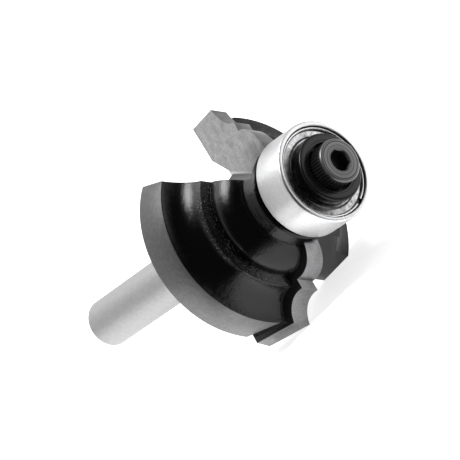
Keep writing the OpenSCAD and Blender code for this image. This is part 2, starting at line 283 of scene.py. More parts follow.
# %% Collar
COLLAR_R = 4.25
COLLAR_T = 1.25
RECESS_R = 3.0
RECESS_FLOOR = 0.27
HOLE_R = 1.6
FOOT_EDGE = 0.12
TOP_EDGE = 0.2
MOUTH_EDGE = 0.1
collar_outline = (
    [(HOLE_R, 0)]
    + arc(COLLAR_R - FOOT_EDGE, FOOT_EDGE, FOOT_EDGE, 270, 360, 4)
    + arc(COLLAR_R - TOP_EDGE, COLLAR_T - TOP_EDGE, TOP_EDGE, 0, 90, 5)
    + arc(RECESS_R + MOUTH_EDGE, COLLAR_T - MOUTH_EDGE, MOUTH_EDGE, 90, 180, 4)
    + [(RECESS_R, RECESS_FLOOR), (HOLE_R, RECESS_FLOOR)]
)
settle(turned("collar", collar_outline), "bearing_collar", "bit")

# %% [markdown]
# ## The cap screw
#
# The screw starts as one turned blank, from the thread's point to the rounded
# edge of the head. The thread is a plain cylinder, because it is never seen.
# The blank has four faces for each ridge of the knurl, so that all ridges are
# cut alike.

# %% Turned blank
HEAD_R = 2.74
HEAD_TOP = 3.27
SCREW_R = 1.5
THREAD_END = -9.73
THREAD_POINT = 0.3
HEAD_FOOT = 0.1
HEAD_EDGE = 0.3
RIDGES = 46
screw_outline = (
    [(0, THREAD_END), (SCREW_R - THREAD_POINT, THREAD_END),
     (SCREW_R, THREAD_END + THREAD_POINT), (SCREW_R, RECESS_FLOOR)]
    + arc(HEAD_R - HEAD_FOOT, RECESS_FLOOR + HEAD_FOOT, HEAD_FOOT, 270, 360, 3)
    + arc(HEAD_R - HEAD_EDGE, HEAD_TOP - HEAD_EDGE, HEAD_EDGE, 0, 90, 8)
    + [(0, HEAD_TOP)]
)
screw = turned("socket_screw", screw_outline, steps=4 * RIDGES, ring=False)
print("blank has", len(screw.data.polygons), "faces")

# %% [markdown]
# ### Cutting
#
# The knurl, the socket and, later, the body's undercut are cut out as on the
# real pieces. A cutter is modelled in its place, taken away from the piece by
# a boolean that is applied at once, and thrown away.

# %% Cutting one piece out of another
def cut(piece, tool):
    select_only(piece)
    carve = piece.modifiers.new("carve", "BOOLEAN")
    carve.operation = "DIFFERENCE"
    carve.solver = "EXACT"
    carve.object = tool
    bpy.ops.object.modifier_apply(modifier="carve")
    bpy.data.objects.remove(tool)


# %% [markdown]
# ### The knurl
#
# A wheel presses straight grooves into the head's side, which stop below a
# plain edge at the top. They could be a bump in the material, but the head's
# own outline shows them, so they are cut. One groove is a three-sided prism.
# It is modelled once, copied round the head in one spin, and all the copies
# are cut out together.

# %% Knurl
KNURL_DEPTH = 0.135
WHEEL_R = 0.16
KNURL_TOP = HEAD_TOP - 0.42
KNURL_LOW = RECESS_FLOOR - 0.2
bpy.ops.mesh.primitive_cylinder_add(
    vertices=3, radius=WHEEL_R * MM, depth=(KNURL_TOP - KNURL_LOW) * MM,
    location=((HEAD_R - KNURL_DEPTH + WHEEL_R) * MM, 0, (KNURL_TOP + KNURL_LOW) / 2 * MM),
    rotation=(0, 0, math.radians(90)))
knurl_tool = new_piece("knurl_tool")
bpy.ops.object.transform_apply(location=True, rotation=True)
bpy.ops.object.mode_set(mode="EDIT")
bpy.ops.mesh.select_all(action="SELECT")
bpy.ops.mesh.spin(
    steps=RIDGES, angle=math.tau, center=(0, 0, 0), axis=(0, 0, 1), dupli=True)
close_up()
bpy.ops.object.mode_set(mode="OBJECT")
print("knurl tool has", len(knurl_tool.data.polygons), "faces")
cut(screw, knurl_tool)
print("knurled screw has", len(screw.data.polygons), "faces")

# %% [markdown]
# ### The socket
#
# The socket is a six-sided hole, and a small cone leads the key into its
# mouth. Both are cut out of the head.

# %% Socket
SOCKET_AF = 2.5
SOCKET_DEPTH = 1.5
SOCKET_R = SOCKET_AF / 2 / math.cos(math.radians(30))
MOUTH_FLARE = 0.36
MOUTH_DEPTH = 0.38
OVERCUT = 0.02
bpy.ops.mesh.primitive_cylinder_add(
    vertices=6, radius=SOCKET_R * MM, depth=2 * SOCKET_DEPTH * MM,
    location=(0, 0, HEAD_TOP * MM), rotation=(0, 0, math.radians(90)))
socket_tool = new_piece("socket_tool")
bpy.ops.object.transform_apply(location=True, rotation=True)
cut(screw, socket_tool)
bpy.ops.mesh.primitive_cone_add(
    vertices=96, radius1=(SOCKET_AF / 2 - OVERCUT) * MM,
    radius2=(SOCKET_AF / 2 + MOUTH_FLARE) * MM, depth=MOUTH_DEPTH * MM,
    location=(0, 0, (HEAD_TOP + OVERCUT) * MM))
mouth_tool = new_piece("mouth_tool")
bpy.ops.object.transform_apply(location=True)
cut(screw, mouth_tool)
settle(screw, "cap_screw", "bit")

# %% [markdown]
# ## The cutter body
#
# The body is one turned piece with two gullets and two seats milled into it.
# Its solid is right, but every edge is a perfect corner, and no real edge is.
# A merged copy of the solid has its flat faces joined into whole ones, and
# then a bevel breaks every sharp edge by a few hundredths of a millimetre.

# %% Merging a solid and breaking its edges
MERGE_REACH = 0.0004
FLAT_BELOW = math.radians(0.3)
SHARP_FROM = math.radians(30)


def merged_copy(node_name, name):
    select_only(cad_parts[node_name])
    bpy.ops.object.duplicate()
    piece = new_piece(name)
    bpy.ops.object.mode_set(mode="EDIT")
    bpy.ops.mesh.select_all(action="SELECT")
    bpy.ops.mesh.remove_doubles(threshold=MERGE_REACH * MM)
    bpy.ops.mesh.dissolve_limited(angle_limit=FLAT_BELOW)
    bpy.ops.mesh.normals_make_consistent(inside=False)
    bpy.ops.object.mode_set(mode="OBJECT")
    return piece


def break_edges(piece, width):
    edge = piece.modifiers.new("edge", "BEVEL")
    edge.width = width * MM
    edge.segments = 2
    edge.limit_method = "ANGLE"
    edge.angle_limit = SHARP_FROM
    edge.miter_outer = "MITER_ARC"
    bpy.context.view_layer.objects.active = piece
    bpy.ops.object.modifier_apply(modifier="edge")


# %% [markdown]
# ### The undercut in the nose
#
# Behind the nose collar's rim a turned ring is cut away, so that the rim
# stands as a thin lip over a neck and throws its own thin shadow.

# %% Body with an undercut
BODY_EDGE = 0.06
NOSE_Z = -BEARING_W - 0.82
LIP_Z = NOSE_Z - 0.26
NECK_FOOT_Z = NOSE_Z - 2.16
NECK_R = 5.35
NECK_FOOT_R = 6.14
CLEAR_R = 6.6
undercut = turned("undercut_tool", [
    (NECK_FOOT_R, NECK_FOOT_Z), (NECK_R, LIP_Z), (CLEAR_R, LIP_Z), (CLEAR_R, NECK_FOOT_Z)])
lay_down(undercut)
body = merged_copy("bit_body", "cutter_body")
cut(body, undercut)
break_edges(body, BODY_EDGE)
dress(body, "bit_body", "bit")

# %% [markdown]
# ## The carbide tips
#
# Each tip is one ground block, and its solid already has the cutting outline
# and the relief behind it. A tip is sharper than the steel it sits on, so the
# same bevel breaks its edges by about half as much.

# %% Two tips
TIP_EDGE = 0.035
for letter in "ab":
    tip = merged_copy("carbide_tip_" + letter, "ground_tip_" + letter)
    break_edges(tip, TIP_EDGE)
    dress(tip, "carbide_tip_" + letter, "bit")

# %% [markdown]
# ## Finishes
#
# Every finish is a Principled shader with a few nodes before it. Colours are
# written as sRGB hex, as a colour picker shows them, and turned into the
# linear values that a shader needs. One function adds a node, with its
# settings and its links.

# %% Helpers for materials
def linear(code):
    levels = [int(code[i:i + 2], 16) / 255 for i in (1, 3, 5)]
    return tuple(c / 12.92 if c <= 0.04045 else ((c + 0.055) / 1.055) ** 2.4 for c in levels) + (1,)


def new_material(name):
    material = bpy.data.materials.new(name)
    material.use_nodes = True
    material.node_tree.nodes.clear()
    return material


def node(material, kind, inputs, **settings):
    made = material.node_tree.nodes.new(kind)
    for key, value in settings.items():
        setattr(made, key, value)
    for key, value in inputs.items():
        if isinstance(value, bpy.types.NodeSocket):
            material.node_tree.links.new(value, made.inputs[key])
        else:
            made.inputs[key].default_value = value
    return made


def paint(names, material):
    for name in names:
        piece = bpy.data.objects[name]
        piece.data.materials.clear()
        piece.data.materials.append(material)
    print(material.name, "on", len(names), "pieces")


# %% [markdown]
# ### Distance from the axis
#
# Turning marks are rings round the axis, so they are a pattern of two
# numbers: the distance from the axis and the place along it. Both come from
# the Object coordinates, because every piece lies with its axis on X. Noise
# seldom leaves the middle of its range, so most patterns are stretched from
# that middle to the full width before they mix two colours.
#
# Real turning marks are about 0.05 mm apart, and ground ones are finer. A
# pixel of the portrait is about 0.12 mm wide, so the marks are drawn coarser,
# at 0.1 to 0.5 mm, or they wouldn't show.

# %% Turned coordinates
NOISE_LOW = 0.36
NOISE_HIGH = 0.64


def turned_places(material):
    place = node(material, "ShaderNodeTexCoord", {}).outputs["Object"]
    parts = node(material, "ShaderNodeSeparateXYZ", {0: place}).outputs
    flat = node(material, "ShaderNodeCombineXYZ", {1: parts[1], 2: parts[2]})
    away = node(material, "ShaderNodeVectorMath", {0: flat.outputs[0]}, operation="LENGTH")
    radius = away.outputs["Value"]
    rings = node(material, "ShaderNodeCombineXYZ", {0: parts[0], 1: radius})
    return {"place": place, "along": parts[0], "radius": radius, "rings": rings.outputs[0]}


def lathe_marks(material, rings, spacing):
    return node(material, "ShaderNodeTexNoise", {
        "Vector": rings, "Scale": 1 / (spacing * MM), "Detail": 2.0, "Roughness": 0.6,
    }, noise_dimensions="2D").outputs[0]


def near(material, value, middle, reach):
    off = node(material, "ShaderNodeMath", {0: value, 1: middle}, operation="SUBTRACT")
    far = node(material, "ShaderNodeMath", {0: off.outputs[0]}, operation="ABSOLUTE")
    return node(
        material, "ShaderNodeMath", {0: far.outputs[0], 1: reach}, operation="LESS_THAN").outputs[0]


# %% [markdown]
# ### Where the body is bare
#
# The shank goes bare into the collet, and the wings' rims are ground bare
# after coating. So one material shows coating in most places and steel in
# these, picked by the place on the axis and the distance from it.

# %% Where the coated body is bare
SHANK_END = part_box("bit_body")[0].x + 28.6 * MM
RIM_LOW = FRONT_X - 19.94 * MM
RIM_HIGH = FRONT_X - 14.93 * MM
RIM_R = 13.19 * MM


def bare_places(material, turned_at):
    along = turned_at["along"]
    shank = node(material, "ShaderNodeMath", {0: along, 1: SHANK_END}, operation="LESS_THAN")
    outer = node(
        material, "ShaderNodeMath", {0: turned_at["radius"], 1: RIM_R}, operation="GREATER_THAN")
    low = node(material, "ShaderNodeMath", {0: along, 1: RIM_LOW}, operation="GREATER_THAN")
    high = node(material, "ShaderNodeMath", {0: along, 1: RIM_HIGH}, operation="LESS_THAN")
    band = node(
        material, "ShaderNodeMath", {0: low.outputs[0], 1: high.outputs[0]}, operation="MULTIPLY")
    rim = node(
        material, "ShaderNodeMath", {0: outer.outputs[0], 1: band.outputs[0]}, operation="MULTIPLY")
    bare = node(
        material, "ShaderNodeMath", {0: shank.outputs[0], 1: rim.outputs[0]}, operation="MAXIMUM")
    return shank.outputs[0], rim.outputs[0], bare.outputs[0]


print("bare shank up to", round(SHANK_END / MM, 2), "mm, bare rim from",
      round(RIM_LOW / MM, 2), "to", round(RIM_HIGH / MM, 2), "mm")

# %% [markdown]
# ### Where the body is milled
#
# The gullets are milled, and are found by their normal: a turned face never
# looks sideways round the axis. The normal is the world's and the place is the
# piece's own, which agree because the body itself never turns.

# %% Where the body is milled
MILLED_LEAN = 0.2


def milled_places(material, place):
    facing = node(material, "ShaderNodeNewGeometry", {})
    around = node(
        material, "ShaderNodeVectorMath", {0: (1, 0, 0), 1: place}, operation="CROSS_PRODUCT")
    around = node(material, "ShaderNodeVectorMath", {0: around.outputs[0]}, operation="NORMALIZE")
    lean = node(material, "ShaderNodeVectorMath", {
        0: facing.outputs["True Normal"], 1: around.outputs[0]}, operation="DOT_PRODUCT")
    lean = node(material, "ShaderNodeMath", {0: lean.outputs["Value"]}, operation="ABSOLUTE")
    return node(material, "ShaderNodeMath", {
        0: lean.outputs[0], 1: MILLED_LEAN}, operation="GREATER_THAN").outputs[0]


# %% [markdown]
# ### The coating's tone
#
# The coating is nearly black. The milled gullets are a paler grey, partly their
# own finish and partly painted sheen, and pale dust lies in the step, where a
# cloth doesn't reach.

# %% Coating
STEP_X = FRONT_X - 11.8 * MM
STEP_HALF = 0.6 * MM
DUST_FROM = 0.66
FILM_DARK = "#020202"
FILM_LIGHT = "#060606"
# Paler grey for the milled gullets: partly their own finish, partly painted sheen.
MILLED_GREY_AND_SHEEN = "#444444"
DUST = "#9a9a9a"


def coating_tone(material, turned_at, speckle):
    film = node(material, "ShaderNodeMix", {
        "Factor": speckle, "A": linear(FILM_DARK), "B": linear(FILM_LIGHT)}, data_type="RGBA")
    # Milled faces turn a paler grey: partly their own finish, partly painted sheen.
    film = node(material, "ShaderNodeMix", {
        "Factor": milled_places(material, turned_at["place"]), "A": film.outputs["Result"],
        "B": linear(MILLED_GREY_AND_SHEEN)}, data_type="RGBA")
    specks = node(
        material, "ShaderNodeMath", {0: speckle, 1: DUST_FROM}, operation="GREATER_THAN")
    dust = node(material, "ShaderNodeMath", {
        0: specks.outputs[0], 1: near(material, turned_at["along"], STEP_X, STEP_HALF),
    }, operation="MULTIPLY")
    return node(material, "ShaderNodeMix", {
        "Factor": dust.outputs[0], "A": film.outputs["Result"],
        "B": linear(DUST)}, data_type="RGBA").outputs["Result"]


# %% [markdown]
# ### The bare steel's tone
#
# Bare steel has soft patches where it was handled. The shank is the lighter of
# the two bare places, and the rims, fresh from the wheel, are the darker.

# %% Bare steel
PATCH_LOW = 0.38
PATCH_HIGH = 0.62
PATCH_SHARE = 0.5
GRIT_SHARE = 0.35
SHANK_CLEAN = "#acacac"
SHANK_WORN = "#a0a0a0"
RIM_CLEAN = "#585858"
RIM_WORN = "#6a6a6a"


def steel_tone(material, rim, sag, speckle):
    patches = node(material, "ShaderNodeMapRange", {
        "Value": sag, "From Min": PATCH_LOW, "From Max": PATCH_HIGH})
    patches = node(
        material, "ShaderNodeMath", {0: patches.outputs[0], 1: PATCH_SHARE}, operation="MULTIPLY")
    fine = node(material, "ShaderNodeMapRange", {
        "Value": speckle, "From Min": NOISE_LOW, "From Max": NOISE_HIGH})
    fine = node(
        material, "ShaderNodeMath", {0: fine.outputs[0], 1: GRIT_SHARE}, operation="MULTIPLY")
    wear = node(
        material, "ShaderNodeMath", {0: patches.outputs[0], 1: fine.outputs[0]}, operation="ADD")
    clean = node(material, "ShaderNodeMix", {
        "Factor": rim, "A": linear(SHANK_CLEAN), "B": linear(RIM_CLEAN)}, data_type="RGBA")
    worn = node(material, "ShaderNodeMix", {
        "Factor": rim, "A": linear(SHANK_WORN), "B": linear(RIM_WORN)}, data_type="RGBA")
    return node(material, "ShaderNodeMix", {
        "Factor": wear.outputs[0], "A": clean.outputs["Result"],
        "B": worn.outputs["Result"]}, data_type="RGBA").outputs["Result"]


# %% [markdown]
# ### Black coated steel
#
# The body is turned tool steel under a baked, satin black non-stick coating,
# which smooths the turning marks without hiding them. A coating sags into a
# faint orange peel, here 0.6 mm across, and holds fine grit, which is drawn a
# pixel wide so that it shows. The shank is duller than the ground rims, and
# both are duller than the coating.

# %% Coated body
TURNING_SPACING = 0.35
TURNING_HEIGHT = 0.01
PEEL = 0.6
PEEL_HEIGHT = 0.04
GRIT = 0.12
GRIT_HEIGHT = 0.008
COATED_ROUGHNESS = 0.16
RIM_ROUGHNESS = 0.38
SHANK_ROUGHNESS = 0.55


def coated_steel():
    material = new_material("black_coated_tool_steel")
    turned_at = turned_places(material)
    shank, rim, bare = bare_places(material, turned_at)
    marks = lathe_marks(material, turned_at["rings"], TURNING_SPACING)
    sag = node(material, "ShaderNodeTexNoise", {
        "Vector": turned_at["place"], "Scale": 1 / (PEEL * MM), "Detail": 4.0,
        "Roughness": 0.7}).outputs[0]
    speckle = node(material, "ShaderNodeTexNoise", {
        "Vector": turned_at["place"], "Scale": 1 / (GRIT * MM), "Detail": 3.0,
        "Roughness": 0.7}).outputs[0]
    bump = node(material, "ShaderNodeBump", {
        "Height": marks, "Distance": TURNING_HEIGHT * MM, "Strength": 1.0})
    for height, depth in ((sag, PEEL_HEIGHT), (speckle, GRIT_HEIGHT)):
        bump = node(material, "ShaderNodeBump", {
            "Height": height, "Distance": depth * MM, "Strength": 1.0,
            "Normal": bump.outputs[0]})
    colour = node(material, "ShaderNodeMix", {
        "Factor": bare, "A": coating_tone(material, turned_at, speckle),
        "B": steel_tone(material, rim, sag, speckle)}, data_type="RGBA")
    rough = node(material, "ShaderNodeMix", {
        "Factor": bare, "A": COATED_ROUGHNESS, "B": RIM_ROUGHNESS})
    rough = node(material, "ShaderNodeMix", {
        "Factor": shank, "A": rough.outputs["Result"], "B": SHANK_ROUGHNESS})
    shader = node(material, "ShaderNodeBsdfPrincipled", {
        "Base Color": colour.outputs["Result"], "Metallic": bare,
        "Roughness": rough.outputs["Result"], "Specular IOR Level": 0.3,
        "Normal": bump.outputs[0]})
    node(material, "ShaderNodeOutputMaterial", {"Surface": shader.outputs[0]})
    return material


paint(["cutter_body"], coated_steel())

# %% [markdown]
# ### Places on a tip
#
# A tip's face, relief and back, and the braze behind it, are told apart by how
# far they lie behind the plane of the face. That plane leans along the axis
# and is turned round it, RAKE_OFF is its distance from the axis, and TIP_T is
# the tip's thickness. The second tip's plane is the first one's after half a
# turn.

# %% How far behind the tip's face
SHEAR = math.radians(13.37)
RAKE_TURN = math.radians(28.55)
RAKE_N = Vector((
    math.cos(SHEAR) * math.cos(RAKE_TURN), math.cos(SHEAR) * math.sin(RAKE_TURN),
    -math.sin(SHEAR)))
RAKE_OFF = 1.607
TIP_T = 1.93
BLACK_BACK = "#080808"
HALF_TURNED = {"a": False, "b": True}


def face_normal(half_turn):
    upright = Vector((-RAKE_N.x, -RAKE_N.y, RAKE_N.z)) if half_turn else RAKE_N
    return LIE.to_3x3() @ upright


def depth_before_axis(material, place, half_turn):
    centred = node(
        material, "ShaderNodeVectorMath", {0: place, 1: (-FRONT_X, 0, 0)}, operation="ADD")
    return node(material, "ShaderNodeVectorMath", {
        0: centred.outputs[0], 1: face_normal(half_turn)},
        operation="DOT_PRODUCT").outputs["Value"]


print("tip a faces", [round(v, 3) for v in face_normal(False)])

# %% [markdown]
# ### Ground carbide
#
# Tungsten carbide is a grey ceramic-like metal. A diamond wheel leaves it
# matt, with fine scratches that run across the face. The flat front face was
# lapped last and is paler than the relief behind it. The tip was brazed in
# before coating, so its back is black wherever the wheel didn't reach. Real
# scratches are about 0.02 mm wide, and are drawn a pixel wide so that they
# show.

# %% Carbide
FACE_SKIN = 0.01
BACK_SKIN = 0.02
SCRATCH = 0.12
SCRATCH_HEIGHT = 0.012
SCRATCH_SHARE = 0.6
SCRATCH_STRETCH = (0.12, 1.0, 1.0)
SCRATCH_LEAN = (0, 0, 0.2)
MOTTLE = 1.2
MOTTLE_SHARE = 0.4
LAPPED = ("#929293", "#bcbcbd")
RELIEF = ("#676768", "#828283")
TIP_ROUGHNESS = 0.34


def ground_carbide(name, half_turn):
    material = new_material(name)
    place = node(material, "ShaderNodeTexCoord", {}).outputs["Object"]
    depth = depth_before_axis(material, place, half_turn)
    back = node(material, "ShaderNodeMath", {
        0: depth, 1: (RAKE_OFF - TIP_T + BACK_SKIN) * MM}, operation="LESS_THAN").outputs[0]
    face = node(material, "ShaderNodeMath", {
        0: depth, 1: (RAKE_OFF - FACE_SKIN) * MM}, operation="GREATER_THAN").outputs[0]
    drawn_out = node(material, "ShaderNodeMapping", {
        "Vector": place, "Scale": SCRATCH_STRETCH, "Rotation": SCRATCH_LEAN})
    streaks = node(material, "ShaderNodeTexNoise", {
        "Vector": drawn_out.outputs[0], "Scale": 1 / (SCRATCH * MM), "Detail": 3.0,
        "Roughness": 0.65}).outputs[0]
    mottle = node(material, "ShaderNodeTexNoise", {
        "Vector": place, "Scale": 1 / (MOTTLE * MM), "Detail": 2.0, "Roughness": 0.5}).outputs[0]
    bump = node(material, "ShaderNodeBump", {
        "Height": streaks, "Distance": SCRATCH_HEIGHT * MM, "Strength": 1.0})
    broad = node(material, "ShaderNodeMath", {0: mottle, 1: MOTTLE_SHARE}, operation="MULTIPLY")
    fine = node(material, "ShaderNodeMath", {0: streaks, 1: SCRATCH_SHARE}, operation="MULTIPLY")
    grey = node(
        material, "ShaderNodeMath", {0: broad.outputs[0], 1: fine.outputs[0]}, operation="ADD")
    grey = node(material, "ShaderNodeMapRange", {
        "Value": grey.outputs[0], "From Min": NOISE_LOW, "From Max": NOISE_HIGH}).outputs[0]
    lapped = node(material, "ShaderNodeMix", {
        "Factor": grey, "A": linear(LAPPED[0]), "B": linear(LAPPED[1])}, data_type="RGBA")
    relief = node(material, "ShaderNodeMix", {
        "Factor": grey, "A": linear(RELIEF[0]), "B": linear(RELIEF[1])}, data_type="RGBA")
    ground = node(material, "ShaderNodeMix", {
        "Factor": face, "A": relief.outputs["Result"],
        "B": lapped.outputs["Result"]}, data_type="RGBA")
    colour = node(material, "ShaderNodeMix", {
        "Factor": back, "A": ground.outputs["Result"], "B": linear(BLACK_BACK)}, data_type="RGBA")
    metal = node(material, "ShaderNodeMath", {0: 1.0, 1: back}, operation="SUBTRACT")
    shader = node(material, "ShaderNodeBsdfPrincipled", {
        "Base Color": colour.outputs["Result"], "Metallic": metal.outputs[0],
        "Roughness": TIP_ROUGHNESS, "Specular IOR Level": 0.3, "Normal": bump.outputs[0]})
    node(material, "ShaderNodeOutputMaterial", {"Surface": shader.outputs[0]})
    return material


for letter, half_turn in HALF_TURNED.items():
    paint(["ground_tip_" + letter],
          ground_carbide("ground_tungsten_carbide_" + letter, half_turn))

# %% [markdown]
# ### Braze
#
# The braze is a silver alloy that froze in small waves, lighter and darker by
# turns. The joint of the tip that lies on the floor gets a darker copy of the
# tones, painted shade, and the other joint the bright one. Deeper behind the
# tip, the coating covers it.

# %% Braze
BRAZE_SEEN = 0.9
BRAZE_ROUGHNESS = 0.34
WAVES = 0.5
WAVE_HEIGHT = 0.08
BRIGHT_BRAZE = ("#a8a8a8", "#f0f0f0")
# A darker copy of the braze tones: painted shade for the joint of the tip on the floor.
SHADED_BRAZE = ("#3c3c3c", "#7c7c7c")


def silver_braze(name, half_turn, dark, light):
    material = new_material(name)
    place = node(material, "ShaderNodeTexCoord", {}).outputs["Object"]
    bare = node(material, "ShaderNodeMath", {
        0: depth_before_axis(material, place, half_turn), 1: (RAKE_OFF - BRAZE_SEEN) * MM,
    }, operation="GREATER_THAN").outputs[0]
    waves = node(material, "ShaderNodeTexNoise", {
        "Vector": place, "Scale": 1 / (WAVES * MM), "Detail": 3.0, "Roughness": 0.6}).outputs[0]
    bump = node(material, "ShaderNodeBump", {
        "Height": waves, "Distance": WAVE_HEIGHT * MM, "Strength": 0.8})
    tone = node(material, "ShaderNodeMix", {
        "Factor": waves, "A": linear(dark), "B": linear(light)}, data_type="RGBA")
    colour = node(material, "ShaderNodeMix", {
        "Factor": bare, "A": linear(BLACK_BACK), "B": tone.outputs["Result"]}, data_type="RGBA")
    shader = node(material, "ShaderNodeBsdfPrincipled", {
        "Base Color": colour.outputs["Result"], "Metallic": bare,
        "Roughness": BRAZE_ROUGHNESS, "Specular IOR Level": 0.38, "Normal": bump.outputs[0]})
    node(material, "ShaderNodeOutputMaterial", {"Surface": shader.outputs[0]})
    return material


low_tip = min("ab", key=lambda letter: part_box("carbide_tip_" + letter)[0].z)
for letter, half_turn in HALF_TURNED.items():
    # Painted shade: the joint of the tip on the floor takes the darker braze tones.
    tones = SHADED_BRAZE if letter == low_tip else BRIGHT_BRAZE
    paint(["braze_joint_" + letter],
          silver_braze("silver_braze_alloy_" + letter, half_turn, *tones))
print("the tip on the floor is", low_tip)

# %% [markdown]
# ### Bearing steels and wire
#
# The rings are through-hardened chrome steel, ground to a fine lay that runs
# round the axis. The shields and the cage are cold-rolled sheet, duller and
# mottled, the wire rings are bright drawn wire, and the balls are polished.
# Painted shade darkens narrow rings at the shields' step and where one piece
# meets the next.

# %% Turned metals
BLOTCH_LOW = 0.32
BLOTCH_HIGH = 0.68
# The tone of the painted shade in the recesses between the bearing's parts.
PAINTED_SHADE_TONE = "#0d0d0d"
PAINTED_SHADE_SHARE = 0.85


def turned_metal(name, dark, light, roughness, spacing, height, blotch=0.5, share=0.5, painted_shade_rings=()):
    material = new_material(name)
    turned_at = turned_places(material)
    marks = lathe_marks(material, turned_at["rings"], spacing)
    turning = node(material, "ShaderNodeBump", {
        "Height": marks, "Distance": height * MM, "Strength": 1.0})
    blotches = node(material, "ShaderNodeTexNoise", {
        "Vector": turned_at["place"], "Scale": 1 / (blotch * MM), "Detail": 5.0,
        "Roughness": 0.75}).outputs[0]
    spread = node(material, "ShaderNodeMapRange", {
        "Value": blotches, "From Min": BLOTCH_LOW, "From Max": BLOTCH_HIGH})
    mixed = node(material, "ShaderNodeMix", {"Factor": share, "A": marks, "B": spread.outputs[0]})
    tone = node(material, "ShaderNodeMix", {
        "Factor": mixed.outputs["Result"], "A": linear(dark),
        "B": linear(light)}, data_type="RGBA")
    # Painted shade: each listed band of radii is darkened towards a near-black tone.
    for low, high in painted_shade_rings:
        ring = near(material, turned_at["radius"], (low + high) / 2 * MM, (high - low) / 2 * MM)
        painted_shade_amount = node(material, "ShaderNodeMath", {0: ring, 1: PAINTED_SHADE_SHARE}, operation="MULTIPLY")
        tone = node(material, "ShaderNodeMix", {
            "Factor": painted_shade_amount.outputs[0], "A": tone.outputs["Result"],
            "B": linear(PAINTED_SHADE_TONE)}, data_type="RGBA")
    pits = node(material, "ShaderNodeBump", {
        "Height": blotches, "Distance": height * MM, "Strength": 1.0,
        "Normal": turning.outputs[0]})
    shader = node(material, "ShaderNodeBsdfPrincipled", {
        "Base Color": tone.outputs["Result"], "Metallic": 1.0, "Roughness": roughness,
        "Normal": pits.outputs[0]})
    node(material, "ShaderNodeOutputMaterial", {"Surface": shader.outputs[0]})
    return material


# Painted shade in the recess at the shields' seat and at the inner ring's edge.
paint(["outer_ring", "inner_ring"], turned_metal(
    "ground_bearing_steel", "#bebebf", "#e0e0e1", roughness=0.34, spacing=0.2, height=0.01,
    blotch=0.25, share=0.6, painted_shade_rings=[(3.3, 3.56), (5.6, 5.74)]))
# Painted shade at the shields' step and under the wire ring.
paint(["front_shield_sheet", "rear_shield_sheet", "ball_cage"], turned_metal(
    "cold_rolled_sheet", "#4a4a4b", "#dededf", roughness=0.3, spacing=0.15, height=0.012,
    blotch=0.7, share=0.8, painted_shade_rings=[(4.38, 4.62), (5.25, 5.8)]))
paint(["snap_ring_front", "snap_ring_rear"], turned_metal(
    "drawn_spring_wire", "#b0b0b1", "#f0f0f1", roughness=0.22, spacing=0.1, height=0.004,
    blotch=0.8))
paint(["ball_%d" % i for i in range(1, 8)], turned_metal(
    "polished_ball_steel", "#d6d6d7", "#dededf", roughness=0.06, spacing=0.5, height=0.0005))

# %% [markdown]
# ### Black oxide
#
# The screw and collar are blackened in hot oxide, which is thin enough to let
# the metal's own gloss through. Handling wears it pale along the turning
# marks, at the front end only.

# %% Black oxide
OXIDE_METAL = 0.6
OXIDE_SPACING = 0.16
OXIDE_HEIGHT = 0.006
PALE_FROM = 0.62


def oxide(name, dark, light, roughness, specular, face_z):
    material = new_material(name)
    turned_at = turned_places(material)
    marks = lathe_marks(material, turned_at["rings"], OXIDE_SPACING)
    turning = node(material, "ShaderNodeBump", {
        "Height": marks, "Distance": OXIDE_HEIGHT * MM, "Strength": 1.0})
    strong = node(material, "ShaderNodeMapRange", {
        "Value": marks, "From Min": NOISE_LOW, "From Max": PALE_FROM})
    face = node(material, "ShaderNodeMath", {
        0: turned_at["along"], 1: FRONT_X + face_z * MM}, operation="GREATER_THAN")
    worn = node(material, "ShaderNodeMix", {
        "Factor": strong.outputs[0], "A": linear(dark), "B": linear(light)}, data_type="RGBA")
    tone = node(material, "ShaderNodeMix", {
        "Factor": face.outputs[0], "A": linear(dark), "B": worn.outputs["Result"]},
        data_type="RGBA")
    shader = node(material, "ShaderNodeBsdfPrincipled", {
        "Base Color": tone.outputs["Result"], "Metallic": OXIDE_METAL, "Roughness": roughness,
        "Specular IOR Level": specular, "Normal": turning.outputs[0]})
    node(material, "ShaderNodeOutputMaterial", {"Surface": shader.outputs[0]})
    return material


paint(["collar"], oxide(
    "black_oxide_collar", "#0c0c0d", "#262627", roughness=0.24, specular=0.4,
    face_z=COLLAR_T - 0.3))
paint(["socket_screw"], oxide(
    "dark_oxide_screw", "#222222", "#6c6c6c", roughness=0.3, specular=0.5,
    face_z=HEAD_TOP - 0.34))

# %% [markdown]
# ## Floor, light and camera
#
# The bit is shown the way a catalogue shows it: on white, in soft light from
# above, seen a little from the front. The floor and the world are white where
# the camera or a reflection looks at them, and lend only a moderate light to
# the bit itself.

# %% Floor
FLOOR_SIZE = 3.0
PAPER_GLOW = 0.7
FLOOR_Z = cad_box[0].z
bpy.ops.mesh.primitive_plane_add(size=FLOOR_SIZE, location=(0, 0, FLOOR_Z))
floor = new_piece("studio_floor")


def white_paper():
    material = new_material("white_paper_floor")
    ray = node(material, "ShaderNodeLightPath", {}).outputs
    seen = node(material, "ShaderNodeMath", {
        0: ray["Is Camera Ray"], 1: ray["Is Glossy Ray"]}, operation="MAXIMUM")
    seen = node(material, "ShaderNodeMath", {
        0: seen.outputs[0], 1: ray["Is Transmission Ray"]}, operation="MAXIMUM")
    strength = node(
        material, "ShaderNodeMath", {0: seen.outputs[0], 1: PAPER_GLOW}, operation="MULTIPLY")
    paper = node(material, "ShaderNodeBsdfDiffuse", {"Color": linear("#f2f2f2")})
    glow = node(material, "ShaderNodeEmission", {
        "Color": (1, 1, 1, 1), "Strength": strength.outputs[0]})
    both = node(material, "ShaderNodeAddShader", {0: paper.outputs[0], 1: glow.outputs[0]})
    node(material, "ShaderNodeOutputMaterial", {"Surface": both.outputs[0]})
    return material


paint(["studio_floor"], white_paper())

# %% [markdown]
# ### The room
#
# The world is the white room round the floor. Its strength is one of three,
# picked by what looks at it: the camera, a reflection, or anything else.

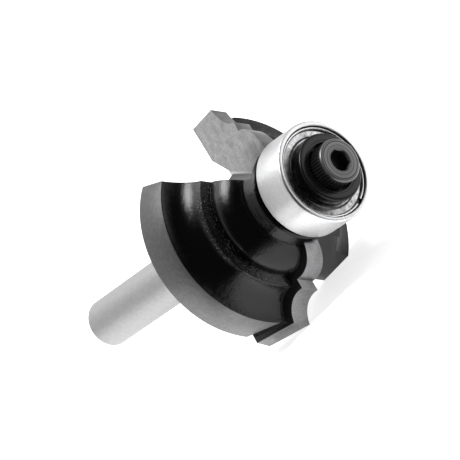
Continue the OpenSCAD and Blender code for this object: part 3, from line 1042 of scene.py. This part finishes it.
# %% Room
ROOM_LIT = 0.35
ROOM_MIRRORED = 0.9
ROOM_SEEN = 1.0
world = bpy.data.worlds.new("studio")
bpy.context.scene.world = world
world.use_nodes = True
world.node_tree.nodes.clear()
ray = node(world, "ShaderNodeLightPath", {}).outputs
mirrored = node(world, "ShaderNodeMath", {
    0: ray["Is Glossy Ray"], 1: ray["Is Transmission Ray"]}, operation="MAXIMUM")
walls = node(world, "ShaderNodeMix", {
    "Factor": mirrored.outputs[0], "A": ROOM_LIT, "B": ROOM_MIRRORED})
level = node(world, "ShaderNodeMix", {
    "Factor": ray["Is Camera Ray"], "A": walls.outputs["Result"], "B": ROOM_SEEN})
room = node(world, "ShaderNodeBackground", {
    "Color": (1, 1, 1, 1), "Strength": level.outputs["Result"]})
node(world, "ShaderNodeOutputWorld", {"Surface": room.outputs[0]})
print("floor at", round(FLOOR_Z / MM, 3), "mm, room with", len(world.node_tree.nodes), "nodes")

# %% [markdown]
# ### The dark flag
#
# A gloss shows whatever stands round it, so the side that the camera stands on
# gets what a studio has there: a dark cloth. Without it, black gloss turns
# grey all over. The cloth lies on the floor from just before the bit outwards
# and then rises as part of a dome. It is drawn as one line, which is spun
# through the part of a turn that faces the camera. The camera, shadows and
# soft light pass through it, so that only reflections see it.

# %% Dark flag
MIDDLE_OF_BIT = Vector((0.036, 0, 0))
FLAG_R = 0.7
FLAG_NEAR = 0.03
FLAG_LOW_TURN = -118
FLAG_HIGH_TURN = 24
FLAG_TOP = 55
FLAG_RISE = 5
FLAG_STEPS = 24
FLAG_LIFT = 0.5
FLAG_GLOW = 0.04


def flag_point(reach, height):
    turn = math.radians(FLAG_LOW_TURN)
    return MIDDLE_OF_BIT + Vector((reach * math.cos(turn), reach * math.sin(turn), height))


def dark_cloth():
    material = new_material("dark_flag_cloth")
    cloth = node(material, "ShaderNodeEmission", {"Color": (1, 1, 1, 1), "Strength": FLAG_GLOW})
    node(material, "ShaderNodeOutputMaterial", {"Surface": cloth.outputs[0]})
    return material


on_floor = FLOOR_Z + FLAG_LIFT * MM
stations = [flag_point(FLAG_NEAR, on_floor), flag_point(FLAG_R, on_floor)]
stations += [flag_point(FLAG_R * math.cos(math.radians(e)), FLAG_R * math.sin(math.radians(e)))
             for e in range(FLAG_RISE, FLAG_TOP + 1, FLAG_RISE)]
front_flag = draw_line("front_flag", stations)
# A positive angle would turn the line away from the camera's side.
bpy.ops.mesh.spin(
    steps=FLAG_STEPS, angle=math.radians(FLAG_LOW_TURN - FLAG_HIGH_TURN), center=MIDDLE_OF_BIT,
    axis=(0, 0, 1))
bpy.ops.object.mode_set(mode="OBJECT")
front_flag.visible_camera = False
front_flag.visible_shadow = False
front_flag.visible_diffuse = False
paint(["front_flag"], dark_cloth())
turns = [math.degrees(math.atan2(v.co.y, v.co.x - MIDDLE_OF_BIT.x))
         for v in front_flag.data.vertices]
print("flag from", round(min(turns)), "to", round(max(turns)), "degrees")

# %% [markdown]
# ### The lamps
#
# Both lamps are round soft boxes that look at the middle of the bit. A wide
# one hangs overhead, a little behind, and a smaller strong one draws the
# highlights.

# %% Lamps
def softbox(name, towards, distance, size, power):
    place = MIDDLE_OF_BIT + Vector(towards).normalized() * distance
    bpy.ops.object.light_add(type="AREA", location=place)
    lamp = bpy.context.object
    lamp.name = name
    lamp.data.shape = "DISK"
    lamp.data.size = size
    lamp.data.energy = power
    lamp.rotation_euler = (MIDDLE_OF_BIT - place).to_track_quat("-Z", "Y").to_euler()
    print(name, "at", [round(v, 3) for v in place])


softbox("overhead", towards=(-0.4, 0.0, 1.0), distance=0.5, size=0.4, power=0.8)
softbox("key", towards=(0.16, -0.1, 0.98), distance=0.5, size=0.28, power=3.0)

# %% [markdown]
# ### The camera
#
# A long lens from a third of a metre away gives the flat look of a catalogue
# shot. Its place and turn were found by fitting the bearing's circles, the
# shank's edges and the socket's corners to where they are seen.

# %% Camera
CAMERA_PLACE = (0.29895552, -0.2144694, 0.05904442)
CAMERA_TURN = (75.995771, 46.197441, 41.086218)
SENSOR_W = 36
LENS = 225.42941
bpy.ops.object.camera_add(
    location=CAMERA_PLACE, rotation=[math.radians(a) for a in CAMERA_TURN])
camera = bpy.context.object
camera.name = "portrait_camera"
camera.data.sensor_width = SENSOR_W
camera.data.lens = LENS
camera.data.clip_start = 0.01
camera.data.clip_end = 10
bpy.context.scene.camera = camera
bpy.context.scene.view_settings.view_transform = "Standard"
print("lens of", round(LENS), "mm")
